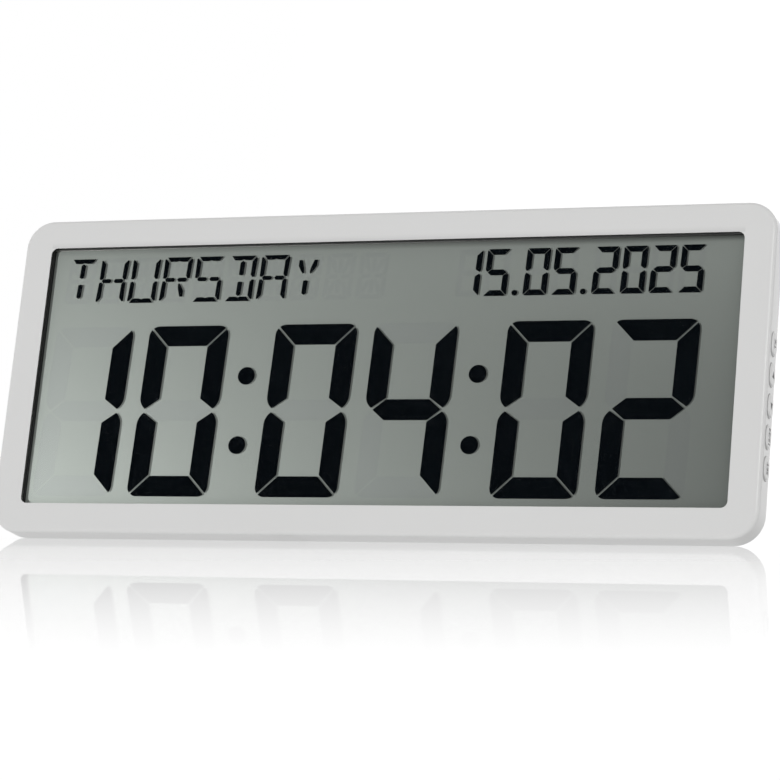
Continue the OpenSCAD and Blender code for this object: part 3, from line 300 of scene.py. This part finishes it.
def reflector_material(name):
    material, tree, output = new_material(name)
    shader = node(tree, "ShaderNodeBsdfPrincipled", Specular_IOR_Level=REFLECTOR_SPECULAR)
    x, _, z = case_coordinates(tree)
    half_w = WINDOW_W / 2
    half_h = WINDOW_H / 2
    across = math_node(tree, "DIVIDE", x, half_w)
    up = math_node(tree, "DIVIDE", z, half_h)
    slope = math_node(tree, "MULTIPLY_ADD", across, TONE_SLOPE, TONE_MIDDLE)
    twist = math_node(tree, "MULTIPLY", math_node(tree, "MULTIPLY", across, up), TONE_TWIST)
    fall = math_node(tree, "EXPONENT",
                     math_node(tree, "MULTIPLY", math_node(tree, "ADD", across, 1.0), PAINTED_GLOW_FALL))
    # Painted glow: light painted into the tone at the lower left.
    tilt = math_node(tree, "MULTIPLY_ADD", up, PAINTED_GLOW_TILT * PAINTED_GLOW, PAINTED_GLOW)
    glow = math_node(tree, "MULTIPLY", fall, tilt)
    bend = math_node(tree, "MULTIPLY", up, math_node(tree, "MULTIPLY_ADD", up, TONE_CURVE, TONE_RISE))
    even = math_node(tree, "ADD", slope, twist)
    tone = math_node(tree, "ADD", even, math_node(tree, "ADD", bend, glow))
    tone = math_node(tree, "MULTIPLY", tone, level(tree, noise(tree, SPECK_GRAIN), *SPECK))
    # Painted shade on the reflector's border under the frame, lighter to the left at the top.
    top_border_shade = math_node(tree, "MULTIPLY_ADD", across, TOP_BORDER_SHADE_SLOPE, TOP_BORDER_SHADE)
    for axis, half, covered in ((x, half_w, SIDE_BORDER_SHADE), (z, half_h, top_border_shade)):
        outward = math_node(tree, "ABSOLUTE", axis)
        border_shade = level(tree, outward, 1.0, covered, half - BORDER_IN, half + BORDER_OUT)
        tone = math_node(tree, "MULTIPLY", tone, border_shade)
    near_top = level(tree, z, 0.0, 1.0, half_h - SHADE_W, half_h, smooth=True)
    depth = math_node(tree, "MULTIPLY_ADD", across, SHADE_SLOPE, SHADE)
    shade = math_node(tree, "MULTIPLY", near_top, depth)
    tone = math_node(tree, "MULTIPLY", tone, math_node(tree, "SUBTRACT", 1.0, shade))
    colour = tree.nodes.new("ShaderNodeCombineColor")
    for socket, share in zip(colour.inputs, REFLECTOR_TINT):
        tree.links.new(math_node(tree, "MULTIPLY", tone, share), socket)
    tree.links.new(colour.outputs["Color"], shader.inputs["Base Color"])
    rough = level(tree, noise(tree, ROUGH_GRAIN), *REFLECTOR_ROUGH)
    tree.links.new(rough, shader.inputs["Roughness"])
    tree.links.new(shader.outputs["BSDF"], output.inputs["Surface"])
    return material


BOARD_ROUGH = 0.35
TRACK_SCALE = 180.0
LACQUER = (0.02, 0.16, 0.06, 1.0)
LACQUER_PALE = (0.03, 0.2, 0.08, 1.0)
TRACK = (0.05, 0.28, 0.1, 1.0)


def board_material(name):
    """Green lacquer over copper tracks."""
    material, tree, output = new_material(name)
    shader = node(tree, "ShaderNodeBsdfPrincipled", Roughness=BOARD_ROUGH)
    place = tree.nodes.new("ShaderNodeTexCoord").outputs["Object"]
    tracks = node(tree, "ShaderNodeTexBrick", Scale=TRACK_SCALE, Color1=LACQUER, Color2=LACQUER_PALE,
                  Mortar=TRACK)
    tree.links.new(place, tracks.inputs["Vector"])
    tree.links.new(tracks.outputs["Color"], shader.inputs["Base Color"])
    tree.links.new(shader.outputs["BSDF"], output.inputs["Surface"])
    return material


# An AA cell along its length from the nub: bare nub, copper-coloured and dark sleeve, bare end.
CELL_L = 50.5
CELL_METAL = (0.62, 0.62, 0.64, 1.0)
CELL_COPPER = (0.5, 0.24, 0.08, 1.0)
CELL_DARK = (0.03, 0.03, 0.034, 1.0)
CELL_BANDS = ((0.0, CELL_METAL), (1.6, CELL_COPPER), (15.0, CELL_DARK), (49.7, CELL_METAL))
CELL_GRAIN = 900.0
CELL_ROUGH = (0.25, 0.36)
UPPER_NUB_X = 162.1
LOWER_NUB_X = 106.9


def cell_material(name, nub_x, way):
    """Battery sleeve of a cell whose nub is at nub_x and points along X by way, 1 or -1."""
    material, tree, output = new_material(name)
    shader = node(tree, "ShaderNodeBsdfPrincipled")
    x, _, _ = case_coordinates(tree)
    depth = math_node(tree, "MULTIPLY", math_node(tree, "SUBTRACT", x, nub_x), -way)
    stops = tree.nodes.new("ShaderNodeValToRGB")
    stops.color_ramp.interpolation = "CONSTANT"
    elements = stops.color_ramp.elements
    ready = len(elements)
    for i, (at, colour) in enumerate(CELL_BANDS):
        element = elements[i] if i < ready else elements.new(at / CELL_L)
        element.position = at / CELL_L
        element.color = colour
    tree.links.new(math_node(tree, "DIVIDE", depth, CELL_L), stops.inputs["Fac"])
    tree.links.new(stops.outputs["Color"], shader.inputs["Base Color"])
    tree.links.new(level(tree, noise(tree, CELL_GRAIN), *CELL_ROUGH), shader.inputs["Roughness"])
    tree.links.new(shader.outputs["BSDF"], output.inputs["Surface"])
    return material


CASE_COLOUR = (0.70, 0.70, 0.695)
CASE_ROUGH = 0.30
BUTTON_ROUGH = 0.38
# A button is this share as bright as the case.
BUTTON_SHARE = 0.99
FINE_FINISH = {"grain": 2600, "spread": 0.012, "bump_depth": 0.00005}
CASE_FINISH = {**FINE_FINISH, "bump": 0.06, "edge": 0.3}
BUTTON_FINISH = {**FINE_FINISH, "bump": 0.05, "edge": 0.25}
# What a segment that isn't lit lets through.
UNLIT_TINT = (0.985, 0.982, 0.991)
case_plastic = surface("case_plastic", CASE_COLOUR, CASE_ROUGH, **CASE_FINISH)
bezel_plastic = surface("bezel_plastic", CASE_COLOUR, CASE_ROUGH, painted=window_edge, **CASE_FINISH)
button_plastic = surface("button_plastic", tinted(CASE_COLOUR, BUTTON_SHARE), BUTTON_ROUGH,
                         **BUTTON_FINISH)
MATERIALS = {
    "case_plastic": case_plastic,
    "button_plastic": button_plastic,
    "gasket_rubber": surface("gasket_rubber", (0.012, 0.012, 0.012), 0.6, spread=0.2),
    "film": clear_layer("film", (0.985, 0.99, 0.985), 0.12),
    "lcd_glass": clear_layer("lcd_glass", (0.99, 0.995, 0.992), 0.05),
    "seal_resin": surface("seal_resin", (0.07, 0.07, 0.07), 0.6, spread=0.2,
                          Specular_IOR_Level=0.2),
    "reflector": reflector_material("reflector"),
    "segment_ink": surface("segment_ink", (0.0016, 0.0025, 0.0036), 0.5, spread=0.2,
                           Specular_IOR_Level=0.02),
    "unlit_film": clear_layer("unlit_film", UNLIT_TINT, 0.2),
    "holder_plastic": surface("holder_plastic", (0.72, 0.72, 0.7), 0.45, edge=0.2,
                              painted=holder_painted_shade),
    "zebra_rubber": surface("zebra_rubber", (0.55, 0.28, 0.32), 0.65, grain=600,
                            stretch=(4.0, 0.1, 0.1), spread=0.2),
    "circuit_board": board_material("circuit_board"),
    "chip_resin": surface("chip_resin", (0.02, 0.02, 0.021), 0.4, spread=0.15),
    "capacitor_sleeve": surface("capacitor_sleeve", (0.02, 0.03, 0.1), 0.28, spread=0.1),
    "steel": surface("steel", (0.6, 0.6, 0.62), 0.3, grain=1400, metallic=1.0, spread=0.05, edge=0.1),
    "ferrite": surface("ferrite", (0.05, 0.05, 0.053), 0.6, grain=1500, spread=0.2, bump=0.2),
    "winding": surface("winding", (0.5, 0.2, 0.06), 0.35, grain=900, metallic=0.8,
                       stretch=(6.0, 0.2, 0.2), spread=0.15, bump=0.4, bump_depth=0.0002),
    "soft_rubber": surface("soft_rubber", (0.03, 0.03, 0.03), 0.7, grain=1200, spread=0.15, bump=0.1),
    "flat_cable": surface("flat_cable", (0.62, 0.58, 0.42), 0.45, spread=0.05),
    "red_wire": surface("red_wire", (0.45, 0.02, 0.015), 0.4, spread=0.08),
    "black_wire": surface("black_wire", (0.015, 0.015, 0.016), 0.4, spread=0.1),
}
OWN_MATERIALS = {
    "front_bezel": bezel_plastic,
    "upper_cell": cell_material("upper_cell_sleeve", UPPER_NUB_X, 1),
    "lower_cell": cell_material("lower_cell_sleeve", LOWER_NUB_X, -1),
}
mark_ink = surface("mark_ink", (0.03, 0.03, 0.032), 0.55, spread=0.1)


# Edges sharper than this, in degrees, stay sharp; points closer than this, in metres, are one.
SMOOTH_LIMIT = 24
WELD = 1e-6


def smooth_modifier_group():
    """Node group that joins doubled points and smooths all but the sharp edges."""
    group = bpy.data.node_groups.new("smooth_by_angle", "GeometryNodeTree")
    group.interface.new_socket("Geometry", in_out="INPUT", socket_type="NodeSocketGeometry")
    group.interface.new_socket("Geometry", in_out="OUTPUT", socket_type="NodeSocketGeometry")
    start = group.nodes.new("NodeGroupInput")
    end = group.nodes.new("NodeGroupOutput")
    weld = group.nodes.new("GeometryNodeMergeByDistance")
    weld.inputs["Distance"].default_value = WELD
    smooth = group.nodes.new("GeometryNodeSetShadeSmooth")
    smooth.domain = "FACE"
    smooth.inputs["Shade Smooth"].default_value = True
    angle = group.nodes.new("GeometryNodeInputMeshEdgeAngle")
    sharp = group.nodes.new("FunctionNodeCompare")
    sharp.data_type = "FLOAT"
    sharp.operation = "GREATER_THAN"
    sharp.inputs[1].default_value = math.radians(SMOOTH_LIMIT)
    crease = group.nodes.new("GeometryNodeSetShadeSmooth")
    crease.domain = "EDGE"
    crease.inputs["Shade Smooth"].default_value = False
    group.links.new(start.outputs[0], weld.inputs["Geometry"])
    group.links.new(weld.outputs["Geometry"], smooth.inputs["Geometry"])
    group.links.new(smooth.outputs["Geometry"], crease.inputs["Geometry"])
    group.links.new(angle.outputs["Unsigned Angle"], sharp.inputs[0])
    group.links.new(sharp.outputs["Result"], crease.inputs["Selection"])
    group.links.new(crease.outputs["Geometry"], end.inputs[0])
    return group


smooth_group = smooth_modifier_group()
SLOT_OF = {part["node"]: part["material_slot"] for part in frame["record"]["subparts"]}
SHEET_SLOTS = ("film", "lcd_glass")
CLEAR_SLOTS = SHEET_SLOTS + ("unlit_film",)
THIN_SLOTS = CLEAR_SLOTS + ("segment_ink",)
LAYER_GAP = 0.03
for name, obj in frame["nodes"].items():
    slot = SLOT_OF[name]
    obj.data.materials.clear()
    obj.data.materials.append(OWN_MATERIALS.get(name) or MATERIALS[slot])
    smoothing = obj.modifiers.new("smooth", "NODES")
    smoothing.node_group = smooth_group
    if slot in SHEET_SLOTS:
        # A hair's gap keeps touching sheets apart.
        gap = obj.modifiers.new("gap", "DISPLACE")
        gap.strength = -LAYER_GAP * MM
        gap.mid_level = 0.0
    # The lamps shine through clear layers, and sky light spreads behind all of the display's thin
    # ones, so there only the key lamp throws the segments' shadows.
    obj.visible_shadow = slot not in CLEAR_SLOTS
    obj.visible_diffuse = slot not in THIN_SLOTS


# Marks on the buttons and the battery door

def mesh_object(name, mesh, material):
    obj = bpy.data.objects.new(name, mesh)
    bpy.context.scene.collection.objects.link(obj)
    obj.data.materials.clear()
    obj.data.materials.append(material)
    return obj


def plate(name, outline, turn, thickness, material):
    """Thin plate from an outline in the plane of turn's X and Y, standing along its Z."""
    shape = bmesh.new()
    face = shape.faces.new([shape.verts.new((x, y, 0.0)) for x, y in outline])
    raised = bmesh.ops.extrude_face_region(shape, geom=[face])["geom"]
    points = [g for g in raised if isinstance(g, bmesh.types.BMVert)]
    bmesh.ops.translate(shape, verts=points, vec=(0.0, 0.0, thickness))
    bmesh.ops.recalc_face_normals(shape, faces=shape.faces)
    bmesh.ops.transform(shape, matrix=turn, verts=shape.verts)
    mesh = bpy.data.meshes.new(name)
    shape.to_mesh(mesh)
    shape.free()
    return mesh_object(name, mesh, material)


MARK_T = 0.04
MARK_SIZE = 3.5
MARK_BOLD = 0.09
MARK_STEPS = 4
TRIANGLE = ((-1.6, -1.3), (1.6, -1.3), (0.0, 1.7))


def lettering(name, text, turn, material):
    """Word as a thin plate, centred on turn's origin."""
    curve = bpy.data.curves.new(name + "_curve", "FONT")
    curve.body = text
    curve.size = MARK_SIZE
    curve.align_x = "CENTER"
    curve.align_y = "CENTER"
    curve.extrude = MARK_T / 2
    curve.offset = MARK_BOLD
    curve.resolution_u = MARK_STEPS
    source = bpy.data.objects.new(name + "_curve", curve)
    bpy.context.scene.collection.objects.link(source)
    bpy.context.view_layer.update()
    made = source.evaluated_get(bpy.context.evaluated_depsgraph_get())
    mesh = bpy.data.meshes.new_from_object(made)
    bpy.data.objects.remove(source)
    bpy.data.curves.remove(curve)
    mesh.transform(turn)
    mesh.name = name
    return mesh_object(name, mesh, material)


def button_turn(index, turned):
    """Frame on a button's face, with its Y up the case, turned about its Z by degrees."""
    z = BUTTON_Z + BUTTON_PITCH * ((len(BUTTON_NAMES) - 1) / 2 - index)
    at = Matrix.Translation((CASE_W / 2 + BUTTON_PROUD, BUTTON_Y, z))
    upright = Matrix(((0, 0, 1, 0), (1, 0, 0, 0), (0, 1, 0, 0), (0, 0, 0, 1)))
    return CASE @ at @ upright @ Matrix.Rotation(math.radians(turned), 4, "Z")


def button_marks():
    marks = {
        "zone": lettering("zone_mark", "TZ", button_turn(0, 90), mark_ink),
        "up": plate("up_mark", TRIANGLE, button_turn(1, 0), MARK_T, mark_ink),
        "down": plate("down_mark", TRIANGLE, button_turn(2, 180), MARK_T, mark_ink),
        "format": lettering("format_mark", "12/24", button_turn(3, 90), mark_ink),
        "set": lettering("set_mark", "SET", button_turn(4, 90), mark_ink),
    }
    for name, mark in marks.items():
        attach(mark, name + "_key")


button_marks()

ARROW_T = 0.5
ARROW = (
    (-9.0, 0.0), (-3.0, 5.0), (-3.0, 2.0), (8.0, 2.0), (8.0, -2.0), (-3.0, -2.0), (-3.0, -5.0),
)


def door_arrow():
    """Raised arrow on the battery door that shows the way it slides."""
    at = Matrix.Translation((DOOR_X, CASE_D - DOOR_GAP, DOOR_Z))
    backward = Matrix(((-1, 0, 0, 0), (0, 0, 1, 0), (0, 1, 0, 0), (0, 0, 0, 1)))
    arrow = plate("door_arrow", ARROW, CASE @ at @ backward, ARROW_T, case_plastic)
    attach(arrow, "door")


door_arrow()


# Stage, light and camera

# The floor's mirror image fades with the distance in front of the clock, along the view.
VIEW_WAY = (0.3532, -0.9356)
FADE_START = 0.05
FADE_END = 0.81
MIRROR = 0.65
# The floor's light on the object, its own brightness to the camera, and its share of lamplight.
FLOOR_GLOW = 0.475
FLOOR_SEEN = 0.83
FLOOR_COLOUR = (0.3, 0.3, 0.3, 1.0)
WHITE = (1.0, 1.0, 1.0, 1.0)


def looked_at(tree):
    """One for what the camera sees, also in a mirror or through glass, and zero for light."""
    path = tree.nodes.new("ShaderNodeLightPath")
    seen = math_node(tree, "MAXIMUM", path.outputs["Is Camera Ray"], path.outputs["Is Glossy Ray"])
    return math_node(tree, "MAXIMUM", seen, path.outputs["Is Transmission Ray"])


def floor_material():
    """White floor that keeps the shadow and mirrors the clock near it; as light, an even glow."""
    material, tree, output = new_material("floor")
    shade = node(tree, "ShaderNodeBsdfDiffuse", Color=FLOOR_COLOUR)
    white = node(tree, "ShaderNodeEmission", Color=WHITE, Strength=FLOOR_SEEN)
    shaded = tree.nodes.new("ShaderNodeAddShader")
    tree.links.new(shade.outputs["BSDF"], shaded.inputs[0])
    tree.links.new(white.outputs["Emission"], shaded.inputs[1])
    glow = node(tree, "ShaderNodeEmission", Color=WHITE, Strength=FLOOR_GLOW)
    lit = tree.nodes.new("ShaderNodeMixShader")
    tree.links.new(looked_at(tree), lit.inputs["Fac"])
    tree.links.new(glow.outputs["Emission"], lit.inputs[1])
    tree.links.new(shaded.outputs["Shader"], lit.inputs[2])
    mirror = node(tree, "ShaderNodeBsdfGlossy", Color=WHITE, Roughness=0.0)
    place = tree.nodes.new("ShaderNodeTexCoord").outputs["Object"]
    split = tree.nodes.new("ShaderNodeSeparateXYZ")
    tree.links.new(place, split.inputs["Vector"])
    ahead_x = math_node(tree, "MULTIPLY", split.outputs["X"], VIEW_WAY[0])
    ahead_y = math_node(tree, "MULTIPLY", split.outputs["Y"], VIEW_WAY[1])
    ahead = math_node(tree, "ADD", ahead_x, ahead_y)
    fade = level(tree, ahead, MIRROR, 0.0, FADE_START, FADE_END)
    seen = tree.nodes.new("ShaderNodeLightPath").outputs["Is Camera Ray"]
    share = math_node(tree, "MULTIPLY", fade, seen)
    mix = tree.nodes.new("ShaderNodeMixShader")
    tree.links.new(share, mix.inputs["Fac"])
    tree.links.new(lit.outputs["Shader"], mix.inputs[1])
    tree.links.new(mirror.outputs["BSDF"], mix.inputs[2])
    tree.links.new(mix.outputs["Shader"], output.inputs["Surface"])
    return material


FLOOR_HALF = 20.0


def build_floor():
    mesh = bpy.data.meshes.new("floor")
    sides = ((-1, -1), (1, -1), (1, 1), (-1, 1))
    corners = [(x * FLOOR_HALF, y * FLOOR_HALF, 0.0) for x, y in sides]
    mesh.from_pydata(corners, [], [(0, 1, 2, 3)])
    floor = mesh_object("floor", mesh, floor_material())


# Sky light in the middle, and how much more of it comes from the right and from behind.
SKY = 0.60
SKY_RIGHT = 0.15
SKY_BEHIND = 0.50


def build_world():
    """White all round to the camera; as light, softer in front, where the key lamp is."""
    world = bpy.data.worlds.new("studio")
    world.use_nodes = True
    world.cycles.sampling_method = "NONE"
    tree = world.node_tree
    tree.nodes.clear()
    output = tree.nodes.new("ShaderNodeOutputWorld")
    backdrop = node(tree, "ShaderNodeBackground", Color=WHITE)
    way = tree.nodes.new("ShaderNodeTexCoord").outputs["Generated"]
    split = tree.nodes.new("ShaderNodeSeparateXYZ")
    tree.links.new(way, split.inputs["Vector"])
    sky = math_node(tree, "MULTIPLY_ADD", split.outputs["X"], SKY_RIGHT, SKY)
    sky = math_node(tree, "MULTIPLY_ADD", split.outputs["Y"], SKY_BEHIND, sky)
    tree.links.new(math_node(tree, "MAXIMUM", sky, looked_at(tree)), backdrop.inputs["Strength"])
    tree.links.new(backdrop.outputs["Background"], output.inputs["Surface"])
    bpy.context.scene.world = world


def sun(name, way, strength, spread, diffuse=True, glossy=True):
    """Distant soft lamp that shines from the side that way points to.

    diffuse and glossy say whether it lights surfaces and whether they mirror it."""
    data = bpy.data.lights.new(name, "SUN")
    data.energy = strength
    data.angle = math.radians(spread)
    data.cycles.use_multiple_importance_sampling = False
    lamp = bpy.data.objects.new(name, data)
    lamp.rotation_euler = Vector(way).to_track_quat("Z", "Y").to_euler()
    lamp.visible_diffuse = diffuse
    lamp.visible_glossy = glossy
    bpy.context.scene.collection.objects.link(lamp)


# Found from the window's four corners, then turned a little to share the outline's error.
LENS = 144.13
SENSOR = 36.0
CAMERA_AT = (0.49638, -1.30913, 0.03970)
CAMERA_TURN = (91.134, -0.045, 20.668)


def build_camera():
    data = bpy.data.cameras.new("camera")
    data.sensor_width = SENSOR
    data.lens = LENS
    camera = bpy.data.objects.new("camera", data)
    camera.location = CAMERA_AT
    camera.rotation_euler = [math.radians(a) for a in CAMERA_TURN]
    bpy.context.scene.collection.objects.link(camera)
    bpy.context.scene.camera = camera


build_floor()
build_world()
sun("key", way=(-0.22, -1.0, 0.03), strength=1.78, spread=2.5, glossy=False)
sun("edge", way=(0.42, -0.765, 0.49), strength=0.5, spread=6.0, diffuse=False)
sun("side", way=(0.9, 0.3, 0.3), strength=0.6, spread=30.0, glossy=False)
build_camera()
bpy.context.scene.view_settings.view_transform = "Standard"
